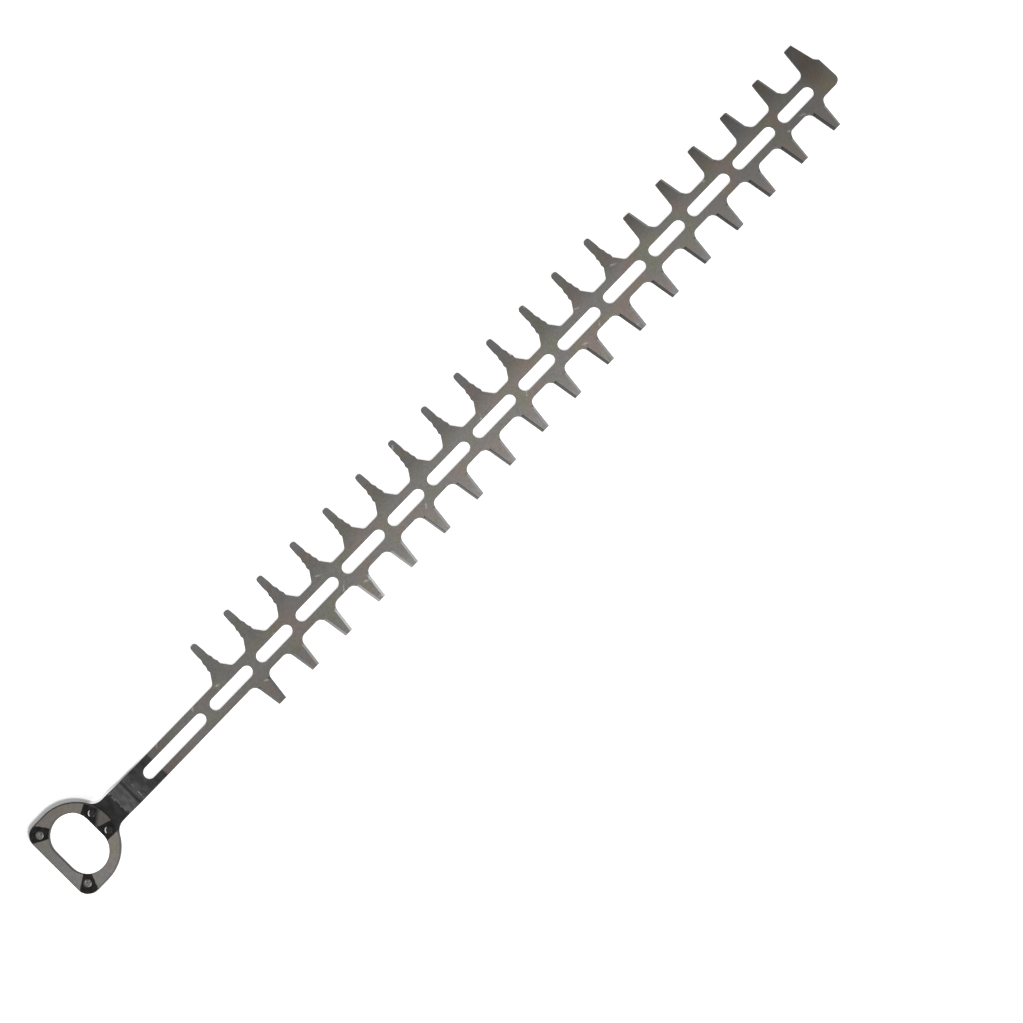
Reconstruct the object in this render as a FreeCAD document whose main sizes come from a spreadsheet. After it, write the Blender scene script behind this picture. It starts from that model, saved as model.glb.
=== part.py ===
import FreeCAD, Part
import math
import os
import re

import Sketcher

# Blade of a double-sided hedge trimmer, in millimetres.
# X runs from the cam hole to the blade's tip, +Y is the side with the serrated teeth,
# and Z = 0 is the flat face that slides on the mating blade.

SIZES = {
    # stamped sheet
    "sheet_thickness": 3.0,
    "bar_width": 18.8,
    "tooth_pitch": 30.0,
    "first_tooth_distance": 137.6,
    "serrated_count": 13,
    "upper_plain_count": 6,
    "lower_plain_count": 18,
    "end_margin": 8.8,
    "end_shelf_run": 2.4,
    "end_shelf_rise": 3.0,
    "end_corner_radius": 4.0,
    # plain teeth
    "plain_reach": 19.8,
    "plain_tip": 6.0,
    "plain_root": 11.5,
    "plain_root_radius": 4.9,
    "bevel_width": 1.6,
    "bevel_depth": 2.2,
    "bevel_start": 3.0,
    # long teeth with scalloped flanks
    "serrated_reach": 27.6,
    "serrated_tip": 4.5,
    "serrated_tip_radius": 1.9,
    "serrated_root": 18.2,
    "serrated_root_radius": 3.0,
    "foot_height": 7.0,
    "foot_width": 8.4,
    "notch_height": 2.2,
    "shoulder_width": 9.1,
    "scallop_top_width": 5.7,
    "scallop_count": 2,
    "scallop_pitch": 4.9,
    "scallop_radius": 6.0,
    # guide slots
    "slot_width": 8.5,
    "slot_long": 36.0,
    "slot_bridge": 6.0,
    "first_slot_start": 57.7,
    "slot_row_start": 117.7,
    "long_slot_count": 5,
    "short_slot_count": 5,
    "second_long_slot_count": 4,
    # ring end and its joggled neck
    "cam_bore": 28.4,
    "cam_stroke": 14.0,
    "ring_far_wall": 6.8,
    "ring_end_wall": 7.4,
    "ring_neck_wall": 10.8,
    "ring_corner_radius": 8.2,
    "neck_radius": 9.0,
    "joggle_gap": 9.8,
    "joggle_run": 9.3,
    "joggle_rise": 2.0,
    "bend_radius": 4.0,
    # doubling plate and its spot welds
    "plate_thickness": 3.0,
    "plate_edge_chamfer": 0.4,
    "weld_diameter": 5.7,
    "weld_depth": 0.25,
    "weld_slope": 40.0,
    "weld_inset": 7.2,
    "weld_nose_inset": 6.1,
    "weld_spacing": 15.0,
}

# Places that several features share, as formulas of the sizes.
BAR_HALF = "bar_width/2"
RAIL = "(bar_width + slot_width)/4"
PLAIN_LEAN = "((plain_root - plain_tip)/2/plain_reach)"
FIRST_LOWER = "(first_tooth_distance + tooth_pitch/2)"
FIRST_UPPER_PLAIN = "(first_tooth_distance + serrated_count*tooth_pitch)"
LAST_TOOTH = "(first_tooth_distance + (serrated_count + upper_plain_count - 1)*tooth_pitch)"
BAR_END = f"({LAST_TOOTH} + end_margin)"
SLOT_GROUP = "(4*tooth_pitch)"
SLOT_SHORT = f"({SLOT_GROUP} - 2*slot_long - 3*slot_bridge)"
RING_FAR = "(-cam_bore/2 - ring_far_wall)"
RING_HALF = "(cam_bore/2 + cam_stroke/2 + ring_end_wall)"
RING_NOSE = "(cam_bore/2 + ring_neck_wall)"
JOGGLE_START = f"({RING_NOSE} + joggle_gap)"
JOGGLE_END = f"({JOGGLE_START} + joggle_run)"

# How near two places are when they count as one, for finding an edge.
NEAR = 0.01

doc = FreeCAD.newDocument("hedge_trimmer_blade")
sheet = doc.addObject("Spreadsheet::Sheet", "Sizes")
for line, (name, value) in enumerate(SIZES.items(), start=1):
    sheet.set(f"A{line}", name)
    sheet.set(f"B{line}", str(value))
    sheet.setAlias(f"B{line}", name)
doc.recompute()


def formula(text):
    """Point the size names in a formula at the spreadsheet's cells."""
    return re.sub(r"[a-z_]+", lambda word: f"Sizes.{word[0]}" if word[0] in SIZES else word[0], text)


def bind(item, prop, text):
    """Tie a property, or a sketch's dimension, to the spreadsheet."""
    item.setExpression(prop, formula(text))


def number(item, text):
    """Work out a formula's present value."""
    value = item.evalExpression(formula(text))
    return float(getattr(value, "Value", value))


def new_body(name):
    body = doc.addObject("PartDesign::Body", name)
    body.Label = name
    return body


def origin_feature(body, role):
    return next(item for item in body.Origin.OriginFeatures if item.Role == role)


def plane_sketch(body, name, role="XY_Plane", height="0"):
    """An empty sketch on one of the body's own planes, or parallel to it at a height."""
    sketch = body.newObject("Sketcher::SketchObject", name)
    sketch.AttachmentSupport = [(origin_feature(body, role), "")]
    sketch.MapMode = "FlatFace"
    bind(sketch, "AttachmentOffset.Base.z", height)
    return sketch


def arc_between(start, end, radius, side):
    """The arc from start to end whose centre is to the left (side 1) or to the right (side -1)."""
    chord = end - start
    left = FreeCAD.Vector(-chord.y, chord.x, 0).normalize()
    rise = math.sqrt(max(radius ** 2 - chord.Length ** 2 / 4, 0))
    centre = (start + end) / 2 + left * (side * rise)
    first, last = (start, end) if side > 0 else (end, start)
    angles = [math.atan2(point.y - centre.y, point.x - centre.x) for point in (first, last)]
    return Part.ArcOfCircle(Part.Circle(centre, FreeCAD.Vector(0, 0, 1), radius), *angles)


def outline(sketch, corners, arcs=None):
    """Add a closed loop through corners, each a pair of formulas.

    The edge that leaves a corner is straight unless arcs names that corner, with the arc's radius as a
    formula and the side its centre is on. Every corner and radius is a dimension tied to the sheet.
    """
    arcs = arcs or {}
    points = [FreeCAD.Vector(number(sketch, x), number(sketch, y), 0) for x, y in corners]
    base = len(sketch.Geometry)
    first_dimension = len(sketch.Constraints)
    edges = []
    dimensions = []
    formulas = []
    links = []
    for i, (x, y) in enumerate(corners):
        following = (i + 1) % len(corners)
        start, end = points[i], points[following]
        if i in arcs:
            radius, side = arcs[i]
            edges.append(arc_between(start, end, number(sketch, radius), side))
            dimensions.append(Sketcher.Constraint("Radius", base + i, number(sketch, radius)))
            formulas.append(radius)
        else:
            edges.append(Part.LineSegment(start, end))
        ends = (2, 1) if i in arcs and arcs[i][1] < 0 else (1, 2)
        next_start = 2 if following in arcs and arcs[following][1] < 0 else 1
        dimensions.append(Sketcher.Constraint("DistanceX", -1, 1, base + i, ends[0], start.x))
        dimensions.append(Sketcher.Constraint("DistanceY", -1, 1, base + i, ends[0], start.y))
        formulas += [x, y]
        links.append(Sketcher.Constraint("Coincident", base + i, ends[1], base + following, next_start))
    sketch.addGeometry(edges, False)
    sketch.addConstraint(dimensions)
    sketch.addConstraint(links)
    for i, text in enumerate(formulas):
        bind(sketch, f"Constraints[{first_dimension + i}]", text)


def circle(sketch, x, y, diameter):
    """Add a circle whose centre and diameter are tied to the sheet."""
    centre = FreeCAD.Vector(number(sketch, x), number(sketch, y), 0)
    size = number(sketch, diameter)
    index = sketch.addGeometry(Part.Circle(centre, FreeCAD.Vector(0, 0, 1), size / 2), False)
    first = len(sketch.Constraints)
    sketch.addConstraint([
        Sketcher.Constraint("DistanceX", -1, 1, index, 3, centre.x),
        Sketcher.Constraint("DistanceY", -1, 1, index, 3, centre.y),
        Sketcher.Constraint("Diameter", index, size),
    ])
    for i, text in enumerate((x, y, diameter)):
        bind(sketch, f"Constraints[{first + i}]", text)


def stadium(sketch, left, right, low, high, radius, along_x):
    """Add a rectangle with round ends, given the box it fills and the radius of its ends."""
    if along_x:
        middle = f"({low} + {high})/2"
        corners = [(f"{left} + {radius}", low), (f"{right} - {radius}", low), (right, middle),
                   (f"{right} - {radius}", high), (f"{left} + {radius}", high), (left, middle)]
    else:
        middle = f"({left} + {right})/2"
        corners = [(right, f"{low} + {radius}"), (right, f"{high} - {radius}"), (middle, high),
                   (left, f"{high} - {radius}"), (left, f"{low} + {radius}"), (middle, low)]
    outline(sketch, corners, {i: (radius, 1) for i in (1, 2, 4, 5)})


def pad(body, sketch, name, length, midplane=False):
    feature = body.newObject("PartDesign::Pad", name)
    feature.Profile = sketch
    feature.Midplane = midplane
    bind(feature, "Length", length)
    body.Tip = feature
    return feature


def pocket(body, sketch, name, depth=None, upwards=False, slope="0"):
    """Cut a sketch downwards or upwards by a depth, or right through the body."""
    feature = body.newObject("PartDesign::Pocket", name)
    feature.Profile = sketch
    feature.Reversed = upwards
    if depth is None:
        feature.Type = "ThroughAll"
        feature.Midplane = True
    else:
        bind(feature, "Length", depth)
        bind(feature, "TaperAngle", slope)
    body.Tip = feature
    return feature


def row(body, features, name, count, spacing):
    """Repeat features along the blade."""
    pattern = body.newObject("PartDesign::LinearPattern", name)
    pattern.Originals = features
    pattern.Direction = (origin_feature(body, "X_Axis"), [""])
    bind(pattern, "Length", f"({count} - 1)*{spacing}")
    bind(pattern, "Occurrences", count)
    body.Tip = pattern
    return pattern


def edges_at(shape, spots, close=NEAR):
    """Names of the upright edges that stand at the given places in plan."""
    names = []
    for i, edge in enumerate(shape.Edges, start=1):
        ends = [vertex.Point for vertex in edge.Vertexes]
        upright = len(ends) == 2 and math.hypot(ends[0].x - ends[1].x, ends[0].y - ends[1].y) < close
        if upright and any(math.hypot(ends[0].x - x, ends[0].y - y) < close for x, y in spots):
            names.append(f"Edge{i}")
    return names


def fillet(body, name, radius, edge_names):
    base = body.Tip
    feature = body.newObject("PartDesign::Fillet", name)
    feature.Base = (base, edge_names)
    bind(feature, "Radius", radius)
    body.Tip = feature
    doc.recompute()
    return feature


def corner_arc(half, height, lean, radius, inside):
    """Ends of the arc that rounds a tooth's corner, where a flank that leans in meets a line along the blade.

    The corner lies at half the tooth's width there and at a height. The arc is inside the tooth's tip, or
    outside its root. Its ends come as the one on the line, then the one on the flank.
    """
    run = f"sqrt(1 + {lean}^2)"
    reach = f"({radius}*({run} - {lean}))"
    sign = "-" if inside else "+"
    turn = "+" if inside else "-"
    on_line = (f"({half} {sign} {reach})", height)
    on_flank = (f"({half} {turn} {reach}*{lean}/{run})", f"{height} {sign} {reach}/{run}")
    return on_line, on_flank


def ring_outline(sketch):
    """The ring end: square with rounded corners behind the cam hole, half round towards the neck."""
    inner = f"({RING_HALF} - ring_corner_radius)"
    corner = f"({RING_FAR} + ring_corner_radius)"
    middle = f"({RING_NOSE} - {RING_HALF})"
    corners = [(RING_FAR, inner), (RING_FAR, f"-{inner}"), (corner, f"-{RING_HALF}"),
               (middle, f"-{RING_HALF}"), (RING_NOSE, "0"), (middle, RING_HALF), (corner, RING_HALF)]
    arcs = {1: ("ring_corner_radius", 1), 3: (RING_HALF, 1), 4: (RING_HALF, 1), 6: ("ring_corner_radius", 1)}
    outline(sketch, corners, arcs)
    stadium(sketch, "-cam_bore/2", "cam_bore/2", "(-cam_bore - cam_stroke)/2", "(cam_bore + cam_stroke)/2",
            "cam_bore/2", along_x=False)


def weld_marks(sketch):
    """Four spot welds: two in the ring's square corners and two where the neck leaves it."""
    for side in ("1", "-1"):
        circle(sketch, f"{RING_FAR} + weld_inset", f"{side}*({RING_HALF} - weld_inset)", "weld_diameter")
        circle(sketch, f"{RING_NOSE} - weld_nose_inset", f"{side}*weld_spacing/2", "weld_diameter")


def bent_strip(body):
    """The bar and its neck in one strip, with the joggle that lifts the ring end off the mating blade."""
    lag = "sheet_thickness*tan(atan(joggle_rise/joggle_run)/2)"
    start = f"({RING_NOSE} - ring_neck_wall/2)"
    corners = [
        (start, "joggle_rise"), (JOGGLE_START, "joggle_rise"), (JOGGLE_END, "0"), (BAR_END, "0"),
        (BAR_END, "sheet_thickness"), (f"{JOGGLE_END} + {lag}", "sheet_thickness"),
        (f"{JOGGLE_START} + {lag}", "joggle_rise + sheet_thickness"),
        (start, "joggle_rise + sheet_thickness"),
    ]
    side_view = plane_sketch(body, "strip_profile", "XZ_Plane")
    outline(side_view, corners)
    pad(body, side_view, "strip", "bar_width", midplane=True)


def mirrored(points):
    """The same points on the other flank, in the order that goes on round the tooth."""
    return [(f"-({x})", y) for x, y in reversed(points)]


def tooth_sketch(body, name, middle, side, corners, arcs):
    """A tooth's outline from corners measured from its middle, above or below the bar."""
    sketch = plane_sketch(body, name)
    outline(sketch, [(f"{middle} + {x}", f"{side}*({y})") for x, y in corners],
            {i: (radius, int(side) * turn) for i, (radius, turn) in arcs.items()})
    return sketch


def plain_flank():
    """Corners of a plain tooth's right half: a round root, a straight tapered flank and a square tip."""
    on_bar, on_flank = corner_arc("plain_root/2", BAR_HALF, PLAIN_LEAN, "plain_root_radius", inside=False)
    return [(on_bar[0], RAIL), on_bar, on_flank, ("plain_tip/2", f"{BAR_HALF} + plain_reach")]


def ground_bevels(body, name, middle, side, flanks):
    """Bevels ground on a plain tooth's flanks, down to a narrow land at the sliding face.

    Flank 1 faces the blade's tip and flank -1 faces the ring end.
    """
    sketch = plane_sketch(body, f"{name}_bevel_outline", height="sheet_thickness")
    overrun = "3*bevel_width"
    ends = ["bevel_start", f"(plain_reach + {overrun})"]
    heights = [f"{side}*({BAR_HALF} + {along})" for along in ends]
    for flank in flanks:
        halves = [f"(plain_root/2 - {PLAIN_LEAN}*{along})" for along in ends]
        inner = [f"{middle} + {flank}*({half} - bevel_width)" for half in halves]
        outer = [f"{middle} + {flank}*({half} + {overrun})" for half in halves]
        outline(sketch, [(inner[0], heights[0]), (inner[1], heights[1]),
                         (outer[1], heights[1]), (outer[0], heights[0])])
    return pocket(body, sketch, f"{name}_bevel", "bevel_depth", slope="-atan(bevel_width/bevel_depth)")


def plain_teeth(body, name, first, side, count, flanks):
    """A row of plain teeth, ground on the given flanks."""
    flank = plain_flank()
    corners = flank + mirrored(flank)
    arcs = {1: ("plain_root_radius", -1), len(corners) - 3: ("plain_root_radius", -1)}
    sketch = tooth_sketch(body, f"{name}_outline", first, side, corners, arcs)
    tooth = pad(body, sketch, f"{name}_tooth", "sheet_thickness")
    bevel = ground_bevels(body, name, first, side, flanks)
    row(body, [tooth, bevel], f"{name}_teeth", count, "tooth_pitch")


def end_tooth(body):
    """The last upper tooth, which isn't ground. Its outer flank runs down to the blade's end."""
    flank = plain_flank()
    corners = [("end_margin", RAIL), ("end_margin", BAR_HALF),
               ("(end_margin - end_shelf_run)", f"{BAR_HALF} + end_shelf_rise"), flank[-1]] + mirrored(flank)
    arcs = {len(corners) - 3: ("plain_root_radius", -1)}
    sketch = tooth_sketch(body, "end_tooth_outline", LAST_TOOTH, "1", corners, arcs)
    pad(body, sketch, "end_tooth", "sheet_thickness")


def serrated_teeth(body):
    """The row of long teeth: a wide foot, a notched and scalloped flank to hold a twig, a slim round tip."""
    count = int(SIZES["scallop_count"])
    foot = f"({BAR_HALF} + foot_height)"
    shoulder = f"({foot} + notch_height)"
    shank = f"({shoulder} + scallop_count*scallop_pitch)"
    tip = f"({BAR_HALF} + serrated_reach)"
    foot_lean = "((serrated_root - foot_width)/2/foot_height)"
    shank_lean = f"((scallop_top_width - serrated_tip)/2/({tip} - {shank}))"
    on_bar, on_foot = corner_arc("serrated_root/2", BAR_HALF, foot_lean, "serrated_root_radius", inside=False)
    on_top, on_shank = corner_arc("serrated_tip/2", tip, shank_lean, "serrated_tip_radius", inside=True)
    cusps = [(f"(shoulder_width + (scallop_top_width - shoulder_width)*{i}/scallop_count)/2",
              f"{shoulder} + {i}*scallop_pitch") for i in range(count + 1)]
    flank = [(on_bar[0], RAIL), on_bar, on_foot, ("foot_width/2", foot)] + cusps + [on_shank, on_top]
    corners = flank + mirrored(flank)
    rounded = {1: ("serrated_root_radius", -1), len(flank) - 2: ("serrated_tip_radius", 1)}
    rounded.update({4 + i: ("scallop_radius", -1) for i in range(count)})
    last = len(corners) - 2
    arcs = {**rounded, **{last - i: arc for i, arc in rounded.items()}}
    sketch = tooth_sketch(body, "serrated_outline", "first_tooth_distance", "1", corners, arcs)
    tooth = pad(body, sketch, "serrated_tooth", "sheet_thickness")
    row(body, [tooth], "serrated_teeth", "serrated_count", "tooth_pitch")


def guide_slots(body):
    """A long first slot, then groups of long, short, long slots that keep time with four tooth pitches."""
    half = "slot_width/2"
    first = plane_sketch(body, "first_slot_outline")
    stadium(first, "first_slot_start", "(slot_row_start - slot_bridge)", f"-{half}", half, half, along_x=True)
    pocket(body, first, "first_slot")
    short_start = "(slot_row_start + slot_long + slot_bridge)"
    second_start = f"({short_start} + {SLOT_SHORT} + slot_bridge)"
    for name, start, length, count in (
        ("long_slot", "slot_row_start", "slot_long", "long_slot_count"),
        ("short_slot", short_start, SLOT_SHORT, "short_slot_count"),
        ("second_long_slot", second_start, "slot_long", "second_long_slot_count"),
    ):
        sketch = plane_sketch(body, f"{name}_outline")
        stadium(sketch, start, f"({start} + {length})", f"-{half}", half, half, along_x=True)
        row(body, [pocket(body, sketch, name)], f"{name}s", count, SLOT_GROUP)


def round_end(body):
    """Round the blade's free corner, below its last tooth."""
    spot = (number(body, BAR_END), -number(body, BAR_HALF))
    fillet(body, "end_corner", "end_corner_radius", edges_at(body.Tip.Shape, [spot]))


def round_neck(body):
    """Blend the neck's sides into the ring end."""
    edge = number(body, BAR_HALF)
    ring = number(body, RING_HALF)
    joint = number(body, RING_NOSE) - ring + math.sqrt(ring ** 2 - edge ** 2)
    fillet(body, "neck", "neck_radius", edges_at(body.Tip.Shape, [(joint, edge), (joint, -edge)]))


def round_bends(body):
    """Give the joggle's two bends their inner and outer radius."""
    rise = number(body, "joggle_rise")
    thick = number(body, "sheet_thickness")
    levels = {"inner_bends": ("bend_radius", (rise + thick, 0.0)),
              "outer_bends": ("bend_radius + sheet_thickness", (rise, thick))}
    start = number(body, JOGGLE_START)
    end = number(body, JOGGLE_END)
    lag = thick * math.tan(math.atan(rise / number(body, "joggle_run")) / 2)
    places = {rise: start, 0.0: end, rise + thick: start + lag, thick: end + lag}
    for name, (radius, heights) in levels.items():
        names = []
        for i, edge in enumerate(body.Tip.Shape.Edges, start=1):
            box = edge.BoundBox
            across = box.YLength > number(body, BAR_HALF) and box.XLength < NEAR and box.ZLength < NEAR
            if across and any(abs(box.ZMin - z) < NEAR and abs(box.XMin - places[z]) < NEAR for z in heights):
                names.append(f"Edge{i}")
        fillet(body, name, radius, names)


def cutter_bar():
    body = new_body("cutter_bar")
    bent_strip(body)
    doc.recompute()
    round_bends(body)
    round_end(body)
    ring = plane_sketch(body, "ring_end_outline", height="joggle_rise")
    ring_outline(ring)
    pad(body, ring, "ring_end", "sheet_thickness")
    doc.recompute()
    round_neck(body)
    marks = plane_sketch(body, "weld_marks", height="joggle_rise")
    weld_marks(marks)
    pocket(body, marks, "weld_dimples", "weld_depth", upwards=True, slope="-weld_slope")
    guide_slots(body)
    end_tooth(body)
    plain_teeth(body, "upper", FIRST_UPPER_PLAIN, "1", "(upper_plain_count - 1)", flanks=("1",))
    plain_teeth(body, "lower", FIRST_LOWER, "-1", "lower_plain_count", flanks=("1", "-1"))
    serrated_teeth(body)
    return body


def ring_plate():
    body = new_body("ring_plate")
    face = plane_sketch(body, "plate_outline")
    ring_outline(face)
    pad(body, face, "plate", "plate_thickness")
    bind(body, "Placement.Base.z", "joggle_rise + sheet_thickness")
    doc.recompute()
    top = number(body, "plate_thickness")
    rim = []
    for i, edge in enumerate(body.Tip.Shape.Edges, start=1):
        box = edge.BoundBox
        if box.ZMin > top - NEAR:
            rim.append(f"Edge{i}")
    base = body.Tip
    broken = body.newObject("PartDesign::Chamfer", "rim")
    broken.Base = (base, rim)
    bind(broken, "Size", "plate_edge_chamfer")
    body.Tip = broken
    marks = plane_sketch(body, "plate_weld_marks", height="plate_thickness")
    weld_marks(marks)
    pocket(body, marks, "plate_weld_dimples", "weld_depth", slope="-weld_slope")
    return body


parts = [cutter_bar(), ring_plate()]
doc.recompute()

for item in doc.Objects:
    if "Invalid" in item.State or "Error" in item.State:
        raise RuntimeError(f"{item.Name} failed: {item.State}")
for part in parts:
    if part.Shape.isNull() or not part.Shape.isValid() or len(part.Shape.Solids) != 1:
        raise RuntimeError(f"{part.Label} is not one sound solid")

os.makedirs("parts", exist_ok=True)
for part in parts:
    part.Shape.exportStep(f"parts/{part.Label}.step")
    box = part.Shape.optimalBoundingBox(False)
    spans = " x ".join(f"{span:.1f}" for span in (box.XLength, box.YLength, box.ZLength))
    print(f"{part.Label}: {part.Shape.Volume:.0f} mm3, {spans} mm")
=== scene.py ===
# %% [markdown]
# A hedge trimmer blade, laid flat and seen from above.
# The solids come ready from the CAD model, at their true size and place, in metres.
# This lesson dresses them: it sets up a camera, writes the finishes of the steel as shader nodes, adds the
# small lumps of metal that a spot welder leaves, and puts a pale table and soft light around the blade.

# %% Load the CAD model
import math

import bmesh
import bpy
from mathutils import Matrix, Vector, noise


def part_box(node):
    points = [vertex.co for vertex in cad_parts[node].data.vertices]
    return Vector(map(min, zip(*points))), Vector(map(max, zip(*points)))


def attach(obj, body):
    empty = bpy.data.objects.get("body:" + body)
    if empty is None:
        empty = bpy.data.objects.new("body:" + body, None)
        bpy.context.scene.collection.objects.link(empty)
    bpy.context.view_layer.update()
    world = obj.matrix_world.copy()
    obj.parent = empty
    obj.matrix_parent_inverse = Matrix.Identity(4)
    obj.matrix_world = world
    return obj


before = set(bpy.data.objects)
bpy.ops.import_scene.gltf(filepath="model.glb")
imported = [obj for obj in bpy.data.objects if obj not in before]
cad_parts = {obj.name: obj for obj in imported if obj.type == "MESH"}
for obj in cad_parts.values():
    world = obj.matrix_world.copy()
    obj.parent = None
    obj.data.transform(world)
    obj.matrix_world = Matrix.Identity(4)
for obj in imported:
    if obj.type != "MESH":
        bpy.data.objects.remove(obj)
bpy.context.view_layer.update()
cutter_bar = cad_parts["cutter_bar"]
ring_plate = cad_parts["ring_plate"]
print("nodes:", sorted(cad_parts))

# %% [markdown]
# The camera comes first, because everything else is judged through it.
# The blade was photographed from nearly straight above with a long lens, so that it crosses the picture
# from the lower left to the upper right. The picture's middle falls on a point beside the blade. From
# there the camera stands back along a line that leans a little to the plain side and to the ring end.

# %% Camera
IMAGE_CENTRE = Vector((0.33938, -0.05008, 0.0))
LEAN_TO_RING = math.radians(3.0)
LEAN_TO_PLAIN_SIDE = math.radians(5.58)
CAMERA_DISTANCE = 1.8
PICTURE_UP = Vector((0.718, 0.696, 0.0))
ROLL = math.radians(-0.16)
FOCAL_LENGTH_IN_PICTURES = 2.7683

toward_camera = Vector((-math.tan(LEAN_TO_RING), -math.tan(LEAN_TO_PLAIN_SIDE), 1.0)).normalized()
level_right = PICTURE_UP.cross(toward_camera).normalized()
level_up = toward_camera.cross(level_right)
right = level_right * math.cos(ROLL) + level_up * math.sin(ROLL)
up = toward_camera.cross(right)

camera_data = bpy.data.cameras.new("camera")
camera_data.sensor_width = 36.0
camera_data.lens = FOCAL_LENGTH_IN_PICTURES * camera_data.sensor_width
camera_data.clip_end = 20.0
camera = bpy.data.objects.new("camera", camera_data)
turn = Matrix((right, up, toward_camera)).transposed().to_4x4()
camera.matrix_world = Matrix.Translation(IMAGE_CENTRE + toward_camera * CAMERA_DISTANCE) @ turn
bpy.context.scene.collection.objects.link(camera)
bpy.context.scene.camera = camera
print("camera at", tuple(round(value, 3) for value in camera.location))

# %% [markdown]
# A small set of helpers keeps the shader cells short. Each one adds nodes to a tree and gives back the
# socket that carries its result, and its inputs are either numbers or other sockets. The first ones wrap
# single nodes.


# %% Helpers for single nodes
def feed(tree, socket, value):
    """Join a socket to an input, or write a plain value into it."""
    if isinstance(value, bpy.types.NodeSocket):
        tree.links.new(value, socket)
    else:
        socket.default_value = value


def math_node(tree, operation, *values, clamp=False):
    node = tree.nodes.new("ShaderNodeMath")
    node.operation = operation
    node.use_clamp = clamp
    for socket, value in zip(node.inputs, values):
        feed(tree, socket, value)
    return node.outputs[0]


def vector_node(tree, operation, *values):
    node = tree.nodes.new("ShaderNodeVectorMath")
    node.operation = operation
    for socket, value in zip(node.inputs, values):
        feed(tree, socket, value)
    return node.outputs[0]


def split(tree, vector):
    """The X, Y and Z of a vector."""
    node = tree.nodes.new("ShaderNodeSeparateXYZ")
    feed(tree, node.inputs[0], vector)
    return node.outputs


def noise_node(tree, vector, detail=2.0, roughness=0.5):
    node = tree.nodes.new("ShaderNodeTexNoise")
    node.inputs["Scale"].default_value = 1.0
    node.inputs["Detail"].default_value = detail
    node.inputs["Roughness"].default_value = roughness
    feed(tree, node.inputs["Vector"], vector)
    return node.outputs["Fac"]


def smooth_step(tree, value, span, start=0.0, end=1.0):
    """A soft ramp from start to end, as a value goes from one end of a span to the other."""
    node = tree.nodes.new("ShaderNodeMapRange")
    node.interpolation_type = "SMOOTHSTEP"
    settings = {"Value": value, "From Min": span[0], "From Max": span[1], "To Min": start, "To Max": end}
    for name, setting in settings.items():
        feed(tree, node.inputs[name], setting)
    return node.outputs[0]


def blend_colour(tree, factor, first, second, mode="MIX"):
    node = tree.nodes.new("ShaderNodeMix")
    node.data_type = "RGBA"
    node.blend_type = mode
    feed(tree, node.inputs["Factor"], factor)
    feed(tree, node.inputs[6], first)
    feed(tree, node.inputs[7], second)
    return node.outputs[2]


print("helpers for single nodes ready")

# %% [markdown]
# The next helpers say what a finish is made of. A mask is a value from 0 to 1 over the surface. A paint is a
# colour and the share of what lies below that it covers.


# %% Helpers for finishes
def grey(level, warmth=0.0):
    """A grey with a little more red and less blue."""
    return (level * (1 + warmth), level, level * (1 - warmth), 1.0)


def scaled(tree, vector, scale):
    """A vector times a number, or times a vector for a stretched pattern."""
    if isinstance(scale, tuple):
        return vector_node(tree, "MULTIPLY", vector, scale)
    node = tree.nodes.new("ShaderNodeVectorMath")
    node.operation = "SCALE"
    feed(tree, node.inputs[0], vector)
    feed(tree, node.inputs["Scale"], scale)
    return node.outputs[0]


def patches(tree, position, scale, edge, start=0.0, end=1.0, **texture):
    """Noise whose middle range is stretched, which leaves patches with soft edges."""
    return smooth_step(tree, noise_node(tree, scaled(tree, position, scale), **texture), edge, start, end)


def flat_distance(tree, along, across):
    """How long a flat step is that goes so far along and so far across the blade."""
    squares = [math_node(tree, "POWER", side, 2.0) for side in (along, across)]
    return math_node(tree, "SQRT", math_node(tree, "ADD", *squares))


def from_spot(tree, x, y, spot):
    """The flat distance from a spot on the part."""
    off_x = math_node(tree, "SUBTRACT", x, spot[0])
    off_y = math_node(tree, "SUBTRACT", y, spot[1])
    return flat_distance(tree, off_x, off_y)


def both(tree, *masks):
    """The product: where every mask holds, or several shades at once."""
    result = masks[0]
    for mask in masks[1:]:
        result = math_node(tree, "MULTIPLY", result, mask)
    return result


def either(tree, *masks):
    """The largest: where any of the masks holds."""
    result = masks[0]
    for mask in masks[1:]:
        result = math_node(tree, "MAXIMUM", result, mask)
    return result


def painted(tree, colour, mask, paint, cover=1.0):
    """A colour with a paint over it where a mask is."""
    return blend_colour(tree, math_node(tree, "MULTIPLY", mask, cover), colour, paint)


print("helpers for finishes ready")


# %% [markdown]
# An effect that several finishes share is a node group. It is built once, has sockets with names, and is
# placed in each material with values of its own.

# %% Helpers for groups
def new_group(name, inputs, outputs):
    """An empty node group with named sockets, and its input and output nodes."""
    group = bpy.data.node_groups.new(name, "ShaderNodeTree")
    for side, sockets in (("INPUT", inputs), ("OUTPUT", outputs)):
        for title, kind in sockets.items():
            group.interface.new_socket(name=title, in_out=side, socket_type=f"NodeSocket{kind}")
    return group, group.nodes.new("NodeGroupInput").outputs, group.nodes.new("NodeGroupOutput").inputs


def use_group(tree, group, **values):
    """Place a group in a tree, and give back its outputs."""
    node = tree.nodes.new("ShaderNodeGroup")
    node.node_tree = group
    for name, value in values.items():
        feed(tree, node.inputs[name], value)
    return node.outputs


def turned_flat(tree, vector, angle):
    """A vector turned about the upright axis."""
    node = tree.nodes.new("ShaderNodeVectorRotate")
    node.rotation_type = "Z_AXIS"
    feed(tree, node.inputs["Vector"], vector)
    feed(tree, node.inputs["Angle"], angle)
    return node.outputs[0]


print("helpers for groups ready")

# %% [markdown]
# Bare hardened steel is never one flat grey. Rolling, grinding and handling leave large, faint clouds that
# lean to brown or to olive, and a fine grain. All the sheet steel on the blade shares this.

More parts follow.
